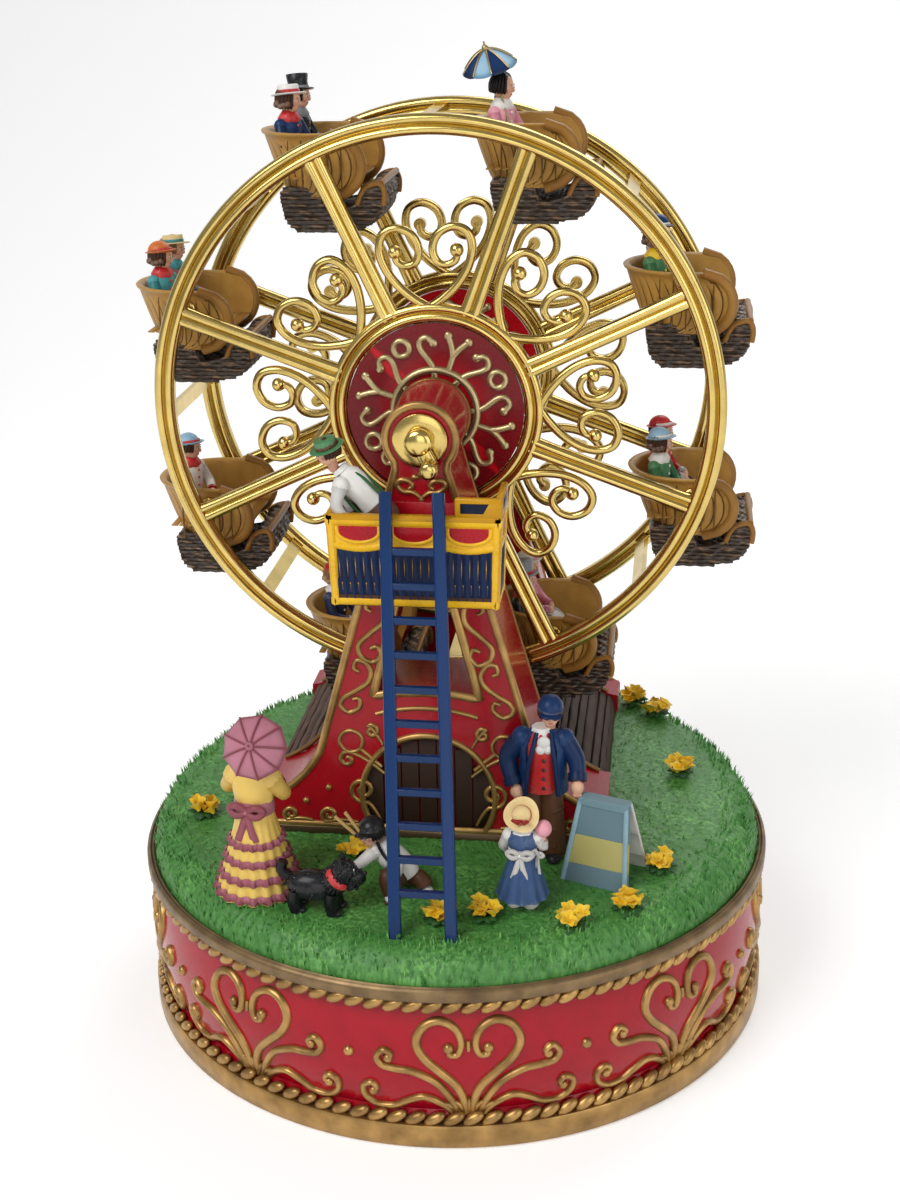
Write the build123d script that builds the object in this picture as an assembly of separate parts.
from build123d import *
import math
import os

os.makedirs("parts", exist_ok=True)

# A musical Ferris wheel on a round base. Millimetres, +Z up, origin at the
# centre of the base's underside, the front of the toy towards -Y.

# Base drum
base_radius = 92.0
flange_height = 7.0
rope_radius = 1.5
rope_inset = 0.7
band_height = 31.5
band_inset = 3.6
band_bulge = 2.2
rim_height = 4.0
base_wall = 6.0
lip_width = 2.4
ledge_depth = 4.5
cover_thickness = 3.0
cover_gap = 0.4
cover_seat = 1.5
cover_screw_count = 4
cover_screw_radius = 1.4
cover_screw_length = 7.0
screw_head_height = 1.4
cover_boss_radius = 4.0
cover_boss_height = 9.0
running_clearance = 0.05
seat_gap = 0.3

# Grass mound
mound_edge_rise = 3.0
mound_top_height = 59.0
mound_tilt = 2.4
mound_top_radius = 79.0
mound_shoulder_drop = 2.2
mound_shoulder_width = 5.0
mound_gap = 0.1

# Towers and wheel
wheel_x = -3.8
wheel_z = 174.7
wheel_turn = 2.5
spoke_count = 8
front_wheel_y = 1.2
rear_wheel_y = 48.8
rim_radius = 76.8
rim_width = 5.6
rim_depth = 4.4
spoke_width = 5.2
spoke_depth = 3.8
hub_ring_radius = 27.3
hub_ring_width = 2.6
hub_disc_thickness = 2.0
heart_wire = 2.7
heart_depth = 2.6
cross_bar_width = 4.0
cross_bar_thickness = 1.6
axle_radius = 2.0
pin_orbit_radius = 75.5
pin_radius = 1.1

tower_boss_radius = 10.0
tower_neck_half = 7.3
tower_front_y = -29.0
tower_depth = 26.3
rear_tower_depth = 12.0
tower_wheel_gap = 1.4
leg_flare_half = 31.0
leg_flare_z = 84.0
foot_half = 50.0
foot_tip_z = 67.5
window_bottom_z = 102.0
window_top_z = 140.0
window_bottom_half = 14.0
window_top_half = 4.2
arch_radius = 18.0
arch_centre_z = 70.7
arch_recess = 2.0
ground_overlap = 8.0
bush_radius = 4.0

wall_thickness = 3.2
wall_top_z = 79.0

washer_radius = 7.4
washer_thickness = 1.2
crank_hub_radius = 3.6
crank_hub_length = 3.2
crank_throw = 6.8
crank_angle = -62.0
crank_arm_width = 4.2
crank_arm_thickness = 2.2
crank_knob_radius = 2.3
crank_knob_length = 4.6
axle_nut_radius = 4.2
axle_nut_thickness = 3.0

# Balcony and ladder
balcony_half = 23.0
balcony_bottom_half = 22.0
balcony_bottom_z = 134.0
balcony_height = 25.0
balcony_depth = 16.0
balcony_wall = 1.8
balcony_floor = 3.0
screen_left = 10.8
screen_height = 5.0
ladder_foot_y = -80.6
ladder_foot_x = 1.8
ladder_top_z = 166.0
ladder_lean_gap = 0.3
ladder_foot_spread = 14.7
ladder_top_spread = 13.6
rail_width = 3.2
rail_thickness = 2.4
rung_count = 11
rung_height = 1.9
rung_first = 0.1415
rung_last = 0.872

# Gondolas
gondola_width = 33.0
gondola_wall = 2.0
shell_back = 18.0
shell_front = 10.5
shell_top = 5.0
shell_bottom = 12.0
boot_width = 27.0
boot_bottom = 22.0
boot_toe = 17.6
pin_boss_radius = 2.6

# Sign
sign_bottom_width = 20.4
sign_top_width = 14.6
sign_height = 23.5
sign_thickness = 1.2
sign_lean = 17.0
sign_turn = -19.0
sign_x = 43.7
sign_y = -50.2

# Music movement inside the base
key_well_radius = 10.5
key_well_depth = 9.0
key_well_wall = 2.0
post_radius = 3.0
bedplate_length = 56.0
bedplate_width = 34.0
bedplate_thickness = 2.0
barrel_radius = 12.0
barrel_height = 12.0
barrel_x = -16.0
crown_rim = 2.2
pinion_radius = 2.4
pinion_length = 3.0
cylinder_radius = 5.5
cylinder_length = 24.0
cylinder_x = 13.0
arbor_radius = 1.0
bracket_thickness = 2.0
bracket_width = 7.0
comb_length = 22.0
comb_width = 11.0
comb_thickness = 1.2
comb_slot = 0.3
comb_tooth_count = 18
comb_reach_gap = 0.4
governor_radius = 4.0
governor_height = 10.0
key_shaft_radius = 1.6
key_wing_width = 17.0
key_wing_height = 5.0
key_wing_thickness = 2.0
key_ground_gap = 1.5

# Heights worked out from the sizes above
band_bottom = flange_height + 2 * rope_radius
band_top = band_bottom + band_height
rim_bottom = band_top + 2 * rope_radius
base_height = rim_bottom + rim_height
ledge_z = base_height - ledge_depth
band_radius = base_radius - band_inset
inner_radius = band_radius - base_wall
mound_radius = base_radius - lip_width - mound_gap
cover_radius = inner_radius + cover_seat
rear_tower_front_y = rear_wheel_y + rim_depth / 2 + tower_wheel_gap
rear_tower_back_y = rear_tower_front_y + rear_tower_depth
tower_back_y = tower_front_y + tower_depth
mid_wheel_y = (front_wheel_y + rear_wheel_y) / 2
spoke_pitch = 360.0 / spoke_count
tilt_slope = math.tan(math.radians(mound_tilt))
bed_z = key_well_depth + key_well_wall
bed_top = bed_z + bedplate_thickness
cylinder_z = bed_top + 2 * seat_gap + barrel_height + pinion_radius
comb_tip_y = -cylinder_radius - comb_reach_gap


def save(shape, name):
    export_step(shape, "parts/" + name + ".step")


def upright(y):
    """A sketch plane facing the front: local x is X, local y is Z."""
    return Plane(origin=(0, y, 0), x_dir=(1, 0, 0), z_dir=(0, -1, 0))


def slab(sketch, y_front, depth):
    """The sketch, drawn in X and Z, from y_front back by depth."""
    return extrude(upright(y_front) * sketch, amount=-depth)


def outline(points):
    return make_face(Polyline(points, close=True))


def rod(start, end, radius, end_radius=None):
    """A round bar or taper between two points."""
    start = Vector(start)
    along = Vector(end) - start
    plane = Plane(origin=start, z_dir=along)
    if end_radius is None or abs(end_radius - radius) < 0.01:
        return plane * Pos(0, 0, along.length / 2) * Cylinder(radius, along.length)
    return plane * Pos(0, 0, along.length / 2) * Cone(radius, end_radius, along.length)


def ball(centre, radius):
    return Pos(*centre) * Sphere(radius)


def limb(start, end, radius, end_radius):
    return rod(start, end, radius, end_radius) + ball(start, radius) + ball(end, end_radius)


def turned(points):
    """A solid turned about Z from half an outline of radius and height."""
    profile = Plane.XZ * make_face(Polyline([(0, points[0][1])] + points + [(0, points[-1][1])], close=True))
    return revolve(profile, Axis.Z)


def wheel_place(angle, radius, y):
    """A place on the wheel: angle from +X in the wheel's face."""
    turn = math.radians(angle)
    return Vector(wheel_x + radius * math.cos(turn), y, wheel_z + radius * math.sin(turn))


def around_wheel(shape, count, first=0.0):
    """Copies of a shape made at angle 0 about the wheel's own axis line."""
    return [Rot(0, -(first + k * 360.0 / count), 0) * shape for k in range(count)]


def to_wheel(shape):
    return Pos(wheel_x, 0, wheel_z) * shape


def mound_height(x, y):
    """The height of the mound's tilted top over a place on it."""
    return mound_top_height + tilt_slope * y


# ---------------------------------------------------------------- base

def base_drum():
    with BuildPart() as drum:
        with BuildSketch(Plane.XZ):
            with BuildLine():
                Polyline((cover_radius + cover_gap, 0), (base_radius, 0), (base_radius, flange_height),
                         (base_radius - rope_inset - rope_radius, flange_height))
                ThreePointArc((base_radius - rope_inset - rope_radius, flange_height),
                              (base_radius - rope_inset, flange_height + rope_radius),
                              (base_radius - rope_inset - rope_radius, band_bottom))
                Line((base_radius - rope_inset - rope_radius, band_bottom), (band_radius, band_bottom))
                ThreePointArc((band_radius, band_bottom),
                              (band_radius + band_bulge, (band_bottom + band_top) / 2),
                              (band_radius, band_top))
                Line((band_radius, band_top), (base_radius - rope_inset - rope_radius, band_top))
                ThreePointArc((base_radius - rope_inset - rope_radius, band_top),
                              (base_radius - rope_inset, band_top + rope_radius),
                              (base_radius - rope_inset - rope_radius, rim_bottom))
                Polyline((base_radius - rope_inset - rope_radius, rim_bottom), (base_radius, rim_bottom),
                         (base_radius, base_height), (base_radius - lip_width, base_height),
                         (base_radius - lip_width, ledge_z), (inner_radius, ledge_z),
                         (inner_radius, cover_thickness), (cover_radius + cover_gap, cover_thickness),
                         (cover_radius + cover_gap, 0))
            make_face()
        revolve(axis=Axis.Z)
    shape = drum.part
    for x, y in cover_screw_places():
        boss = Pos(x, y, cover_thickness + cover_boss_height / 2)
        shape += boss * Cylinder(cover_boss_radius, cover_boss_height)
        shape -= boss * Cylinder(cover_screw_radius, cover_boss_height + 0.02)
    return shape


def cover_screw_places():
    boss_orbit = inner_radius - 0.6 * cover_boss_radius
    angles = [math.radians(45 + k * 360 / cover_screw_count) for k in range(cover_screw_count)]
    return [(boss_orbit * math.cos(a), boss_orbit * math.sin(a)) for a in angles]


def bottom_cover():
    """A flat plate with a well for the winding key and posts for the movement."""
    shape = Pos(0, 0, cover_thickness / 2) * Cylinder(cover_radius, cover_thickness)
    well_outer = key_well_radius + key_well_wall
    shape += Pos(barrel_x, 0, bed_z / 2) * Cylinder(well_outer, bed_z)
    for x in (-1, 1):
        for y in (-1, 1):
            place = Pos(x * (bedplate_length / 2 - post_radius), y * (bedplate_width / 2 - post_radius), bed_z / 2)
            shape += place * Cylinder(post_radius, bed_z)
    shape -= Pos(barrel_x, 0, key_well_depth / 2 - 1) * Cylinder(key_well_radius, key_well_depth + 2)
    shape -= Pos(barrel_x, 0, bed_z) * Cylinder(key_shaft_radius + seat_gap, 4 * key_well_wall)
    for x, y in cover_screw_places():
        shape -= Pos(x, y, 0) * Cylinder(2 * cover_screw_radius + seat_gap, 2 * (screw_head_height + seat_gap))
        shape -= Pos(x, y, 0) * Cylinder(cover_screw_radius, 3 * cover_thickness)
    return shape


def cover_screws():
    screws = []
    for x, y in cover_screw_places():
        head = Pos(x, y, seat_gap + screw_head_height / 2) * Cylinder(2 * cover_screw_radius, screw_head_height)
        head -= Pos(x, y, seat_gap) * Box(4 * cover_screw_radius, 0.6, 1.0)
        shank_length = cover_screw_length + cover_thickness
        shank = Pos(x, y, seat_gap + shank_length / 2) * Cylinder(cover_screw_radius, shank_length)
        shank -= Pos(x, y, seat_gap) * Box(4 * cover_screw_radius, 0.6, 1.0)
        screws.append(head + shank)
    return Compound(children=screws)


def grass_mound():
    """A turf cap: a round edge, a steep shoulder and a gently tilted top."""
    edge_z = base_height + mound_edge_rise - rim_height
    tilted = Plane(origin=(0, 0, 0), x_dir=(1, 0, 0),
                   z_dir=(0, -math.sin(math.radians(mound_tilt)), math.cos(math.radians(mound_tilt))))
    half_tilt = Plane(origin=(0, 0, 0), x_dir=(1, 0, 0),
                      z_dir=(0, -math.sin(math.radians(mound_tilt / 2)), math.cos(math.radians(mound_tilt / 2))))
    foot = Pos(0, 0, (ledge_z + edge_z) / 2) * Cylinder(mound_radius, edge_z - ledge_z)
    edge = Pos(0, 0, edge_z) * Circle(mound_radius)
    waist_z = (edge_z + mound_top_height - mound_shoulder_drop) / 2
    waist = Pos(0, 0, waist_z) * half_tilt * Circle((mound_radius + mound_top_radius + mound_shoulder_width) / 2 + 0.7)
    shoulder = Pos(0, 0, mound_top_height - mound_shoulder_drop) * tilted * Circle(
        mound_top_radius + mound_shoulder_width)
    top = Pos(0, 0, mound_top_height) * tilted * Circle(mound_top_radius)
    shape = foot
    for low, high in ((edge, waist), (waist, shoulder), (shoulder, top)):
        shape += loft([low, high], ruled=True)
    return shape


# ---------------------------------------------------------------- towers

def tower_outline():
    """The A-shaped casting's outer line: boss, straight legs, flared feet."""
    low = min(mound_height(0, tower_front_y), mound_top_height) - ground_overlap
    neck_z = wheel_z - math.sqrt(tower_boss_radius ** 2 - tower_neck_half ** 2)
    bend_x = leg_flare_half + 0.36 * (foot_half - leg_flare_half)
    bend_z = foot_tip_z + 0.34 * (leg_flare_z - foot_tip_z)
    lines = [
        Line((-foot_half, low), (foot_half, low)),
        Line((foot_half, low), (foot_half, foot_tip_z)),
        ThreePointArc((foot_half, foot_tip_z), (bend_x, bend_z), (leg_flare_half, leg_flare_z)),
        Line((leg_flare_half, leg_flare_z), (tower_neck_half, neck_z)),
        ThreePointArc((tower_neck_half, neck_z), (0, wheel_z + tower_boss_radius), (-tower_neck_half, neck_z)),
        Line((-tower_neck_half, neck_z), (-leg_flare_half, leg_flare_z)),
        ThreePointArc((-leg_flare_half, leg_flare_z), (-bend_x, bend_z), (-foot_half, foot_tip_z)),
        Line((-foot_half, foot_tip_z), (-foot_half, low)),
    ]
    return make_face(lines)


def tower(y_front, depth, recess_side):
    shape = slab(Pos(wheel_x, 0) * tower_outline(), y_front, depth)
    window = outline([(-window_bottom_half, window_bottom_z), (window_bottom_half, window_bottom_z),
                      (window_top_half, window_top_z), (-window_top_half, window_top_z)])
    shape -= slab(Pos(wheel_x, 0) * window, y_front - 1, depth + 2)
    shape -= slab(Pos(wheel_x, wheel_z) * Circle(bush_radius), y_front - 1, depth + 2)
    arch = Pos(wheel_x, arch_centre_z) * Circle(arch_radius)
    arch += Pos(wheel_x, arch_centre_z - arch_radius / 2) * Rectangle(2 * arch_radius, arch_radius)
    recess_y = y_front - 1 if recess_side < 0 else y_front + depth - arch_recess
    shape -= slab(arch, recess_y, arch_recess + 1)
    return shape - grass_solid


def axle_bushes():
    bushes = []
    for y_front, depth in ((tower_front_y, tower_depth), (rear_tower_front_y, rear_tower_depth)):
        ring = Circle(bush_radius) - Circle(axle_radius + running_clearance)
        bushes.append(slab(Pos(wheel_x, wheel_z) * ring, y_front, depth))
    return Compound(children=bushes)


def plank_wall(side):
    """A board wall between the towers that follows their flared feet."""
    band = tower_outline() - Pos(-side * wall_thickness, 0) * tower_outline()
    band = band & Pos(side * foot_half, wall_top_z - foot_half / 2) * Rectangle(2 * foot_half - 1, foot_half)
    wall = slab(Pos(wheel_x, 0) * band, tower_back_y, rear_tower_front_y - tower_back_y)
    return wall - grass_solid


# ---------------------------------------------------------------- balcony, ladder

def balcony():
    top_z = balcony_bottom_z + balcony_height
    outer = outline([(-balcony_bottom_half, balcony_bottom_z), (balcony_bottom_half, balcony_bottom_z),
                     (balcony_half, top_z), (-balcony_half, top_z)])
    inner = outline([(-balcony_bottom_half + balcony_wall, balcony_bottom_z + balcony_floor),
                     (balcony_bottom_half - balcony_wall, balcony_bottom_z + balcony_floor),
                     (balcony_half - balcony_wall, top_z + 1), (-balcony_half + balcony_wall, top_z + 1)])
    shape = slab(Pos(wheel_x, 0) * outer, tower_front_y - balcony_depth, balcony_depth)
    shape -= slab(Pos(wheel_x, 0) * inner, tower_front_y - balcony_depth + balcony_wall,
                  balcony_depth - 2 * balcony_wall)
    return shape


def balcony_screen():
    """The raised part of the balcony's front right corner."""
    top_z = balcony_bottom_z + balcony_height
    front_y = tower_front_y - balcony_depth
    corner = Pos(wheel_x + (screen_left + balcony_half) / 2, front_y + balcony_wall / 2, top_z + screen_height / 2)
    shape = corner * Box(balcony_half - screen_left, balcony_wall, screen_height)
    side = Pos(wheel_x + balcony_half - balcony_wall / 2, tower_front_y - balcony_depth / 2,
               top_z + screen_height / 2)
    return shape + side * Box(balcony_wall, balcony_depth, screen_height)


def ladder():
    front_y = tower_front_y - balcony_depth
    rail_top_z = balcony_bottom_z + balcony_height
    foot_z = mound_height(0, ladder_foot_y) - 5
    lean = (front_y - rail_thickness - ladder_lean_gap - ladder_foot_y) / (rail_top_z - foot_z)
    top_y = ladder_foot_y + lean * (ladder_top_z - foot_z)
    foot_mid = Vector(ladder_foot_x, ladder_foot_y, foot_z)
    top_mid = Vector(wheel_x, top_y, ladder_top_z)
    shape = None
    for side in (-1, 1):
        foot = foot_mid + Vector(side * ladder_foot_spread / 2, 0, 0)
        top = top_mid + Vector(side * ladder_top_spread / 2, 0, 0)
        along = top - foot
        rail = Plane(origin=foot, x_dir=(1, 0, 0), z_dir=along) * Pos(0, 0, along.length / 2) * Box(
            rail_width, rail_thickness, along.length)
        shape = rail if shape is None else shape + rail
    for k in range(rung_count):
        share = rung_first + (rung_last - rung_first) * k / (rung_count - 1)
        middle = foot_mid + (top_mid - foot_mid) * share
        spread = ladder_foot_spread + (ladder_top_spread - ladder_foot_spread) * share
        shape += Pos(*middle) * Box(spread, rail_thickness * 0.7, rung_height)
    return shape - grass_solid


# ---------------------------------------------------------------- wheel

def half_round(width, depth, outward):
    """A bar's section: flat towards the other side, rounded outwards."""
    flat = 0.3 * depth
    return make_face([
        Line((-width / 2, outward * -0.5 * depth), (width / 2, outward * -0.5 * depth)),
        Line((width / 2, outward * -0.5 * depth), (width / 2, outward * (flat - 0.5 * depth))),
        ThreePointArc((width / 2, outward * (flat - 0.5 * depth)), (0, outward * 0.5 * depth),
                      (-width / 2, outward * (flat - 0.5 * depth))),
        Line((-width / 2, outward * (flat - 0.5 * depth)), (-width / 2, outward * -0.5 * depth)),
    ])


def ring_of(radius, width, depth, y, outward):
    """A turned ring about the wheel's axis, its section in X and Y."""
    section = Pos(radius, y) * half_round(width, depth, outward)
    return to_wheel(revolve(section, Axis.Y))


def wheel_rim(y, outward):
    return ring_of(rim_radius, rim_width, rim_depth, y, outward)


def wheel_spokes(y, outward):
    inner = hub_ring_radius
    outer = rim_radius - 0.25 * rim_width
    section = Plane(origin=(inner, y, 0), x_dir=(0, 0, 1), z_dir=(1, 0, 0)) * half_round(
        spoke_width, spoke_depth, -outward)
    bar = extrude(section, amount=outer - inner)
    shape = ring_of(hub_ring_radius, 2 * hub_ring_width, spoke_depth, y, outward)
    for copy in around_wheel(bar, spoke_count, spoke_pitch / 2 + wheel_turn):
        shape += to_wheel(copy)
    return shape


def hub_disc(y):
    ring = Circle(hub_ring_radius - hub_ring_width) - Circle(axle_radius)
    return slab(Pos(wheel_x, wheel_z) * ring, y - hub_disc_thickness / 2, hub_disc_thickness)


def heart_half(side):
    """Half a heart of flat scroll, drawn along +X: out of the hub and curled in on itself."""
    start = hub_ring_radius + hub_ring_width - 0.8
    outer = (start + 15.0, side * 12.6)
    inner = (start + 15.4, side * 1.7)
    eye = (start + 14.6, side * 8.4)
    edges = [
        ThreePointArc((start, side * 0.6), (start + 6.2, side * 8.6), outer),
        ThreePointArc(outer, (start + 21.0, side * 6.8), inner),
        ThreePointArc(inner, (start + 10.6, side * 5.4), eye),
    ]
    shape = Pos(*eye) * Circle(heart_wire * 0.68)
    for edge in edges:
        shape += trace(edge, heart_wire)
        shape += Pos(*(edge @ 1)) * Circle(heart_wire / 2)
    return shape


def hearts(y):
    pair = slab(heart_half(1) + heart_half(-1), y - heart_depth / 2, heart_depth)
    return Compound(children=[to_wheel(copy) for copy in around_wheel(pair, spoke_count, wheel_turn)])


def cross_bars():
    length = rear_wheel_y - front_wheel_y - rim_depth
    bar = Pos(rim_radius, mid_wheel_y, 0) * Box(cross_bar_thickness, length, cross_bar_width)
    return Compound(children=[to_wheel(copy) for copy in around_wheel(bar, spoke_count, wheel_turn)])


def pivot_angles():
    return [wheel_turn + spoke_pitch / 2 + k * spoke_pitch for k in range(spoke_count)]


def gondola_pins():
    side_y = gondola_width / 2
    pins = []
    for angle in pivot_angles():
        centre = wheel_place(angle, pin_orbit_radius, 0)
        for rim_y, sign in ((front_wheel_y + rim_depth / 2, 1), (rear_wheel_y - rim_depth / 2, -1)):
            inner_y = mid_wheel_y - sign * (side_y - gondola_wall)
            pins.append(rod((centre.X, rim_y, centre.Z), (centre.X, inner_y, centre.Z), pin_radius))
    return Compound(children=pins)


def wheel_axle():
    start_y = tower_front_y - seat_gap - washer_thickness - crank_hub_length
    end_y = rear_tower_back_y + seat_gap + axle_nut_thickness
    return rod((wheel_x, start_y, wheel_z), (wheel_x, end_y, wheel_z), axle_radius)


def crank_washer():
    ring = Circle(washer_radius) - Circle(axle_radius)
    return slab(Pos(wheel_x, wheel_z) * ring, tower_front_y - seat_gap - washer_thickness, washer_thickness)


def crank():
    front = tower_front_y - seat_gap - washer_thickness - crank_hub_length
    hub = Circle(crank_hub_radius) - Circle(axle_radius)
    shape = slab(Pos(wheel_x, wheel_z) * hub, front, crank_hub_length)
    turn = math.radians(crank_angle)
    knob_x = wheel_x + crank_throw * math.cos(turn)
    knob_z = wheel_z + crank_throw * math.sin(turn)
    arm = Pos(wheel_x, wheel_z) * Rot(0, 0, crank_angle) * Pos(crank_throw / 2, 0) * SlotCenterToCenter(
        crank_throw, crank_arm_width)
    arm -= Pos(wheel_x, wheel_z) * Circle(axle_radius)
    shape += slab(arm, front, crank_arm_thickness)
    stem_start = (knob_x, front + crank_arm_thickness, knob_z)
    stem_end = (knob_x, front - crank_knob_length, knob_z)
    shape += rod(stem_start, stem_end, crank_knob_radius * 0.7)
    shape += ball(stem_end, crank_knob_radius)
    return shape


def axle_nut():
    ring = Circle(axle_nut_radius) - Circle(axle_radius)
    return slab(Pos(wheel_x, wheel_z) * ring, rear_tower_back_y + seat_gap, axle_nut_thickness)


# ---------------------------------------------------------------- gondolas

def gondola(angle):
    """A cane seat shell over a wicker boot, made about its own pivot."""
    half = gondola_width / 2
    side = make_face([
        Line((-shell_back, shell_top), (shell_front - 4, shell_top)),
        ThreePointArc((shell_front - 4, shell_top), (shell_front + 1.2, -2), (shell_front - 4.5, -9)),
        Line((shell_front - 4.5, -9), (shell_front - 9, -shell_bottom)),
        Line((shell_front - 9, -shell_bottom), (-shell_back + 6.5, -shell_bottom)),
        Line((-shell_back + 6.5, -shell_bottom), (-shell_back, shell_top)),
    ])
    shell = slab(side, -half, gondola_width)
    plan = Pos(-shell_back + half, 0) * Circle(half) + Pos(shell_front + 10, 0) * Rectangle(
        2 * (shell_front + 10 + shell_back - half), gondola_width)
    shell = shell & extrude(Pos(0, 0, -shell_bottom - 5) * plan, amount=shell_bottom + shell_top + 10)
    cavity_plan = Pos(-shell_back + half, 0) * Circle(half - gondola_wall) + Pos(shell_front + 10, 0) * Rectangle(
        2 * (shell_front + 10 + shell_back - half), gondola_width - 2 * gondola_wall)
    seat_floor = -shell_bottom + 4.5
    shell -= extrude(Pos(0, 0, seat_floor) * cavity_plan, amount=shell_top - seat_floor + 1)
    boot_side = make_face([
        Line((-shell_back + 7, -shell_bottom + 3), (-shell_back + 7, -boot_bottom + 5)),
        ThreePointArc((-shell_back + 7, -boot_bottom + 5), (-shell_back + 9, -boot_bottom + 1.5),
                      (-shell_back + 14, -boot_bottom)),
        Line((-shell_back + 14, -boot_bottom), (boot_toe - 8, -boot_bottom + 0.8)),
        ThreePointArc((boot_toe - 8, -boot_bottom + 0.8), (boot_toe - 1.2, -boot_bottom + 5),
                      (boot_toe, -boot_bottom + 11)),
        ThreePointArc((boot_toe, -boot_bottom + 11), (boot_toe - 2.6, -boot_bottom + 13.6),
                      (boot_toe - 6, -boot_bottom + 12)),
        Line((boot_toe - 6, -boot_bottom + 12), (boot_toe - 8.5, -boot_bottom + 7)),
        Line((boot_toe - 8.5, -boot_bottom + 7), (2, -boot_bottom + 6)),
        Line((2, -boot_bottom + 6), (0, -shell_bottom + 3)),
        Line((0, -shell_bottom + 3), (-shell_back + 7, -shell_bottom + 3)),
    ])
    boot = slab(boot_side, -boot_width / 2, boot_width)
    shape = shell + boot
    for sign in (-1, 1):
        inner = sign * (half - gondola_wall - 0.01)
        shape += rod((0, inner, 0), (0, sign * (half + 0.6), 0), pin_boss_radius)
    shape -= rod((0, -half - 2, 0), (0, -half + gondola_wall + 2, 0), pin_radius + running_clearance)
    shape -= rod((0, half + 2, 0), (0, half - gondola_wall - 2, 0), pin_radius + running_clearance)
    return Pos(*wheel_place(angle, pin_orbit_radius, mid_wheel_y)) * shape


def rider(seat_y, lean, hat):
    """One seated rider: lap, body, head and a hat, about the pivot."""
    seat_z = -shell_bottom + 4.5 + seat_gap
    hip = (-9.0, seat_y, seat_z + 4.2)
    chest = (-9.8 + lean, seat_y, 6.6)
    head = (-10.6 + 1.4 * lean, seat_y, 14.2)
    shape = limb(hip, chest, 4.1, 3.7)
    shape += rod(chest, head, 1.8)
    shape += ball(head, 3.6)
    for leg in (-1, 1):
        knee = (0.6, seat_y + leg * 1.9, seat_z + 2.6)
        shape += limb((hip[0], seat_y + leg * 1.9, seat_z + 2.6), knee, 2.2, 2.0)
    for arm in (-1, 1):
        shoulder = (chest[0], seat_y + arm * 3.0, chest[2] + 0.6)
        shape += limb(shoulder, (-4.0, seat_y + arm * 2.6, 1.2), 1.5, 1.2)
    crown = Pos(*head)
    if hat == "boater":
        shape += crown * Rot(0, -14, 0) * (Pos(0, 0, 2.2) * Cylinder(4.8, 0.9) + Pos(0, 0, 3.9) * Cylinder(3.0, 3.0))
    if hat == "top":
        shape += crown * Rot(0, -14, 0) * (Pos(0, 0, 2.2) * Cylinder(4.6, 0.9) + Pos(0, 0, 4.6) * Cylinder(2.9, 4.6))
    if hat == "bonnet":
        shape += crown * Pos(-0.8, 0, 1.4) * Sphere(4.1)
    if hat == "parasol":
        canopy = crown * Pos(-1.2, 0, 2.4) * Rot(0, -10, 0)
        shape += canopy * Pos(0, 0, 4.4) * Cone(7.2, 1.2, 4.0)
        shape += canopy * Pos(0, 0, 1.0) * Cylinder(0.6, 9.0)
    return shape


def riders(angle, hats):
    """The riders of one gondola, in its seat; one figure sits in the middle."""
    shape = None
    for k, hat in enumerate(hats):
        seat_y = 0.0 if len(hats) == 1 else (-6.2 if k == 0 else 6.2)
        figure = rider(seat_y, 0.0 if k == 0 else 0.8, hat)
        shape = figure if shape is None else shape + figure
    return Pos(*wheel_place(angle, pin_orbit_radius, mid_wheel_y)) * shape


# ---------------------------------------------------------------- figures

def standing(x, y, shape):
    """A figure made on a floor at zero, set down on the mound."""
    return Pos(x, y, mound_height(x, y)) * shape - grass_solid


def lady():
    skirt = turned([(9.6, -3.0), (9.6, 2.0), (8.6, 8.0), (6.4, 16.0), (3.9, 25.0)])
    body = turned([(3.9, 24.8), (4.9, 30.0), (4.4, 34.0), (2.0, 37.4), (1.7, 40.0)])
    shape = skirt + body + ball((0, 0, 42.4), 3.7)
    shape += limb((-4.0, 0.0, 33.6), (-7.0, 1.0, 28.6), 2.5, 1.8) + limb((-7.0, 1.0, 28.6), (-5.0, 5.0, 30.0), 1.8, 1.3)
    shape += limb((4.0, 0.0, 33.6), (7.8, 1.6, 29.2), 2.5, 1.8) + limb((7.8, 1.6, 29.2), (5.6, 5.2, 31.6), 1.8, 1.3)
    return standing(-46.6, -58.4, shape)


def lady_parasol():
    canopy = turned([(8.6, 0), (7.6, 2.2), (5.2, 4.2), (2.2, 5.4), (0.5, 6.8)])
    tip = Pos(3.4, -8.4, 46.0) * Rot(62, 0, 0) * canopy
    stick = rod((3.4, -8.6, 46.0), (5.6, 5.2, 31.6), 0.6)
    return Pos(-46.6, -58.4, mound_height(0, -58.4)) * (tip + stick)


def terrier():
    shape = limb((-5.2, 0, 6.2), (3.0, -1.2, 6.8), 3.4, 3.3)
    shape += limb((3.4, -1.2, 7.4), (6.2, -1.4, 10.6), 2.3, 2.6)
    shape += rod((6.2, -1.4, 10.6), (10.2, -1.6, 9.6), 1.9, 1.4)
    for x, y in ((-5.2, -2.0), (-5.6, 2.0), (3.2, -2.8), (3.6, 1.2)):
        shape += rod((x, y, -2.0), (x, y, 5.6), 1.3, 1.6)
    shape += rod((-7.6, 0.4, 7.4), (-9.8, 0.8, 11.4), 1.2, 0.7)
    for y in (-2.8, 0.0):
        shape += rod((5.4, y, 12.2), (5.2, y, 14.8), 0.9, 0.4)
    return standing(-27.6, -67.0, scale(shape, by=1.12))


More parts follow.
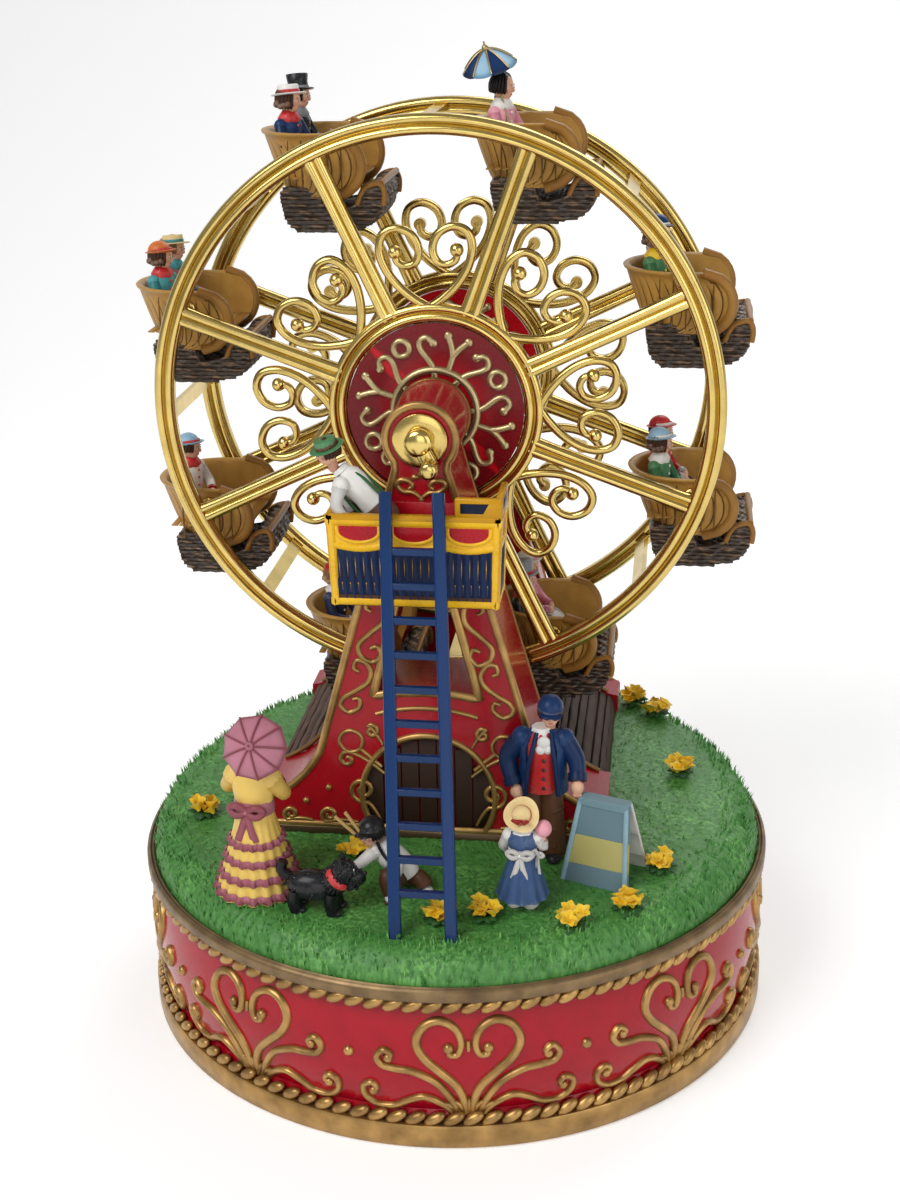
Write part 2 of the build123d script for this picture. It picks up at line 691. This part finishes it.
def boy():
    """Crouched and reaching out to the dog, two sticks under his arm."""
    shape = limb((3.4, 1.0, 5.2), (-1.6, 0.2, 12.4), 4.0, 3.5)
    shape += limb((3.6, -1.6, 4.4), (0.4, -5.0, 6.8), 2.3, 2.0) + rod((0.4, -5.0, 7.4), (1.4, -4.6, -2.0), 1.9, 1.7)
    shape += limb((5.4, 1.6, 3.4), (10.2, -0.6, 1.6), 2.2, 1.8)
    shape += rod((-1.6, 0.2, 13.0), (-4.4, -1.0, 17.6), 1.7)
    shape += ball((-4.4, -1.2, 17.6), 3.2) + Pos(-4.8, -1.0, 19.4) * Rot(8, -12, 0) * Cylinder(3.5, 2.4)
    shape += limb((-2.8, -1.3, 12.1), (-7.2, -4.2, 8.9), 1.75, 1.4) + rod((-7.2, -4.2, 8.9), (-10.4, -6.0, 7.2), 1.4, 1.1)
    shape += limb((1.6, -2.0, 12.0), (3.4, -5.0, 8.6), 1.7, 1.3)
    for spread in (0.0, 1.4):
        shape += rod((-3.6, -2.2, 13.0), (-13.4 + 2 * spread, -3.4, 23.2 + spread), 0.6)
    return standing(-11.0, -56.0, shape)


def man():
    shape = rod((-3.0, 0.0, -3.0), (-2.6, 0.4, 22.0), 3.0, 3.4) + rod((3.6, 0.4, -3.0), (2.2, 0.4, 22.0), 3.0, 3.4)
    shape += limb((0.0, 0.4, 21.0), (0.8, 0.2, 33.4), 5.0, 5.3) + rod((0.8, 0, 36.0), (2.2, -0.6, 42.0), 2.1, 1.8)
    shape += ball((2.4, -0.8, 43.4), 3.3) + Pos(2.4, -0.8, 46.2) * Rot(14, 6, 0) * Cylinder(3.5, 3.0)
    shape += limb((-4.4, 0, 35.2), (-9.2, 0.6, 28.6), 2.9, 2.5) + limb((-9.2, 0.6, 28.6), (-6.6, -2.6, 21.6), 2.5, 1.6)
    shape += limb((5.6, 0, 35.2), (9.4, -0.8, 28.6), 2.9, 2.4) + limb((9.4, -0.8, 28.6), (10.4, -4.0, 23.3), 2.3, 1.5)
    return standing(28.6, -35.8, shape)


def girl():
    skirt = turned([(6.2, -3.0), (6.2, 4.6), (7.0, 5.6), (5.4, 12.0), (3.4, 16.6)])
    body = turned([(3.4, 16.4), (3.9, 19.4), (2.6, 22.6), (1.5, 24.4)])
    shape = skirt + body + ball((0, 0, 26.4), 2.9)
    shape += Pos(0, -0.6, 27.6) * Rot(34, 0, 0) * (Cylinder(4.5, 1.0) + Pos(0, 0, 1.4) * Cone(3.0, 2.2, 2.6))
    shape += limb((-3.2, 0, 20.8), (-5.4, 1.0, 16.4), 1.7, 1.3) + limb((3.2, 0, 20.8), (5.4, 0.2, 18.2), 1.7, 1.3)
    shape += limb((5.4, 0.2, 18.2), (5.4, 0.0, 21.6), 1.2, 0.8) + ball((5.4, -0.2, 23.6), 2.3)
    return standing(25.6, -60.4, shape)


def operator():
    """The wheel man, leaning out over the balcony's left wall."""
    y = tower_front_y - balcony_depth / 2
    floor = balcony_bottom_z + balcony_floor
    hip = Vector(wheel_x - 9.6, y, floor + 19.0)
    shape = limb((hip.X, y - 1.8, floor + seat_gap + 2.2), (hip.X, y - 1.4, hip.Z), 2.2, 3.0)
    shape += limb((hip.X + 1.0, y + 1.8, floor + seat_gap + 2.2), (hip.X, y + 1.4, hip.Z), 2.2, 3.0)
    chest = Vector(wheel_x - 16.6, y - 0.6, balcony_bottom_z + balcony_height + 9.0)
    shape += limb(hip, chest, 4.0, 4.0)
    head = Vector(wheel_x - 23.4, y - 1.0, balcony_bottom_z + balcony_height + 14.6)
    shape += rod(chest, head, 1.9) + ball(head, 3.3)
    shape += Pos(*head) * Rot(0, -28, 0) * (Pos(0, 0, 1.6) * Cylinder(4.6, 1.0) + Pos(0, 0, 3.2) * Cone(3.2, 2.6, 2.8))
    elbow = Vector(wheel_x - 22.2, y - 4.0, balcony_bottom_z + balcony_height + 5.4)
    hand = Vector(wheel_x - balcony_half + 0.6, y - 4.4, balcony_bottom_z + balcony_height + 1.4)
    shape += limb(chest + Vector(0, -3.0, 0), elbow, 2.0, 1.5) + limb(elbow, hand, 1.5, 1.1)
    return shape


def sandwich_sign():
    ground = mound_height(sign_x, sign_y)
    board = outline([(-sign_bottom_width / 2, -3), (sign_bottom_width / 2, -3),
                     (sign_top_width / 2, sign_height), (-sign_top_width / 2, sign_height)])
    front = Rot(-sign_lean, 0, 0) * slab(board, 0, sign_thickness)
    top_y = sign_height * math.sin(math.radians(sign_lean)) + sign_thickness
    back = Pos(0, 2 * top_y, 0) * Rot(sign_lean, 0, 0) * slab(board, -sign_thickness, sign_thickness)
    ridge_z = sign_height * math.cos(math.radians(sign_lean)) - sign_thickness
    ridge = Pos(0, top_y, ridge_z) * Box(sign_top_width, 3 * sign_thickness, 2 * sign_thickness)
    return Pos(sign_x, sign_y, ground) * Rot(0, 0, sign_turn) * (front + back + ridge) - grass_solid


flower_places = [(-71.0, -22.7), (4.6, -70.9), (16.4, -68.2), (39.1, -69.0), (53.0, -60.0),
                 (61.5, -40.3), (67.0, 13.5), (-23.0, -41.9), (51.2, 59.6), (58.5, 52.0)]
clump_radius = 4.2
clump_height = 5.0


def flower_clumps():
    clumps = []
    for x, y in flower_places:
        z = mound_height(x, y)
        leaf = Pos(x, y, z + 0.4) * Cone(clump_radius, clump_radius * 0.55, clump_height * 0.6 + 3)
        head = Pos(x, y, z + clump_height * 0.55) * Cylinder(clump_radius * 0.62, clump_height * 0.5)
        clumps.append((leaf + head) - grass_solid)
    return Compound(children=clumps)


# ---------------------------------------------------------------- movement

def movement_bedplate():
    """The bedplate with the cylinder's two brackets and the comb's block."""
    shape = Pos(0, 0, bed_z + bedplate_thickness / 2) * Box(bedplate_length, bedplate_width, bedplate_thickness)
    shape -= Pos(barrel_x, 0, bed_z + bedplate_thickness / 2) * Cylinder(
        key_shaft_radius + running_clearance, 2 * bedplate_thickness)
    bracket_height = cylinder_z + 3 * arbor_radius - bed_top
    for sign in (-1, 1):
        x = cylinder_x + sign * (cylinder_length / 2 + seat_gap + bracket_thickness / 2)
        bracket = Pos(x, 0, bed_top + bracket_height / 2) * Box(bracket_thickness, bracket_width, bracket_height)
        bracket -= rod((x - bracket_thickness, 0, cylinder_z), (x + bracket_thickness, 0, cylinder_z),
                       arbor_radius + running_clearance)
        shape += bracket
    block_height = cylinder_z - comb_thickness / 2 - bed_top
    block_y = comb_tip_y - comb_width + bracket_thickness
    return shape + Pos(cylinder_x, block_y, bed_top + block_height / 2) * Box(
        comb_length, 2 * bracket_thickness, block_height)


def tune_cylinder():
    """The pinned cylinder on its arbor, with the pinion the crown wheel drives."""
    x0 = cylinder_x - cylinder_length / 2
    x1 = cylinder_x + cylinder_length / 2
    pinion_x = barrel_x + barrel_radius - crown_rim / 2 - pinion_length / 2
    shape = rod((x0, 0, cylinder_z), (x1, 0, cylinder_z), cylinder_radius)
    shape += rod((pinion_x, 0, cylinder_z), (x1 + seat_gap + bracket_thickness, 0, cylinder_z), arbor_radius)
    return shape + rod((pinion_x, 0, cylinder_z), (pinion_x + pinion_length, 0, cylinder_z), pinion_radius)


def tune_comb():
    plate = Pos(cylinder_x, comb_tip_y - comb_width / 2, cylinder_z) * Box(comb_length, comb_width, comb_thickness)
    tooth = comb_length / comb_tooth_count
    slot_length = comb_width / 2
    for k in range(comb_tooth_count - 1):
        x = cylinder_x - comb_length / 2 + (k + 1) * tooth
        plate -= Pos(x, comb_tip_y - slot_length / 2, cylinder_z) * Box(comb_slot, slot_length, 2 * comb_thickness)
    return plate


def spring_barrel():
    """The mainspring's drum with a crown rim on top, open above its arbor."""
    low = bed_top + seat_gap
    can = Pos(barrel_x, 0, low + barrel_height / 2) * Cylinder(barrel_radius, barrel_height)
    can -= Pos(barrel_x, 0, low + barrel_height) * Cylinder(barrel_radius - crown_rim, 3.0)
    return can - Pos(barrel_x, 0, low + barrel_height / 2) * Cylinder(
        key_shaft_radius + running_clearance, 2 * barrel_height)


def governor():
    x = cylinder_x + governor_radius
    y = cylinder_radius + governor_radius + 3.0
    body = Pos(x, y, bed_top + governor_height / 2) * Cylinder(governor_radius, governor_height)
    return body + Pos(x - 2 * governor_radius, y, bed_top + governor_height / 4) * Box(
        2 * governor_radius + 2, governor_radius, governor_height / 2)


def winding_key():
    wing_z = key_ground_gap + key_wing_height / 2
    shape = Pos(barrel_x, 0, wing_z) * Box(key_wing_width - key_wing_height, key_wing_thickness,
                                           0.6 * key_wing_height)
    for sign in (-1, 1):
        wing = Pos(barrel_x + sign * (key_wing_width - key_wing_height) / 2, 0, wing_z) * Rot(90, 0, 0)
        shape += wing * Cylinder(key_wing_height / 2, key_wing_thickness)
    shaft_top = bed_top + seat_gap + barrel_height
    collar_top = key_ground_gap + key_wing_height + seat_gap
    shape += rod((barrel_x, 0, key_ground_gap), (barrel_x, 0, collar_top), key_shaft_radius + 1.0)
    return shape + rod((barrel_x, 0, key_ground_gap), (barrel_x, 0, shaft_top), key_shaft_radius)


# ---------------------------------------------------------------- write the pieces

grass_solid = grass_mound()
save(base_drum(), "base_drum")
save(grass_solid, "grass_mound")
save(bottom_cover(), "bottom_cover")
save(cover_screws(), "cover_screws")
save(tower(tower_front_y, tower_depth, -1), "front_tower")
save(tower(rear_tower_front_y, rear_tower_depth, 1), "rear_tower")
save(axle_bushes(), "axle_bushes")
save(plank_wall(-1), "left_plank_wall")
save(plank_wall(1), "right_plank_wall")
save(balcony(), "balcony")
save(balcony_screen(), "balcony_screen")
save(ladder(), "ladder")
save(lady(), "lady_figure")
save(lady_parasol(), "lady_parasol")
save(terrier(), "terrier")
save(boy(), "boy_figure")
save(man(), "man_figure")
save(girl(), "girl_figure")
save(operator(), "operator_figure")
save(sandwich_sign(), "sandwich_sign")
save(flower_clumps(), "flower_clumps")
save(movement_bedplate(), "movement_bedplate")
save(tune_cylinder(), "tune_cylinder")
save(tune_comb(), "tune_comb")
save(spring_barrel(), "spring_barrel")
save(governor(), "governor")
save(winding_key(), "winding_key")
save(wheel_axle(), "wheel_axle")
save(axle_nut(), "axle_nut")
save(crank_washer(), "crank_washer")
save(crank(), "crank")
save(cross_bars(), "cross_bars")
save(gondola_pins(), "gondola_pins")
for side_name, wheel_y, outward in (("front", front_wheel_y, -1), ("rear", rear_wheel_y, 1)):
    save(wheel_rim(wheel_y, outward), side_name + "_rim")
    save(wheel_spokes(wheel_y, outward), side_name + "_spokes")
    save(hub_disc(wheel_y), side_name + "_hub_disc")
    save(hearts(wheel_y), side_name + "_hearts")
rider_hats = [("bonnet", "bonnet"), ("parasol",), ("boater", "top"), ("bonnet", "boater"),
              ("bonnet",), ("bonnet",), ("top", "bonnet"), ("bonnet", "bonnet")]
for number, (angle, hats) in enumerate(zip(pivot_angles(), rider_hats), start=1):
    save(gondola(angle), "gondola_" + str(number))
    save(riders(angle, hats), "riders_" + str(number))
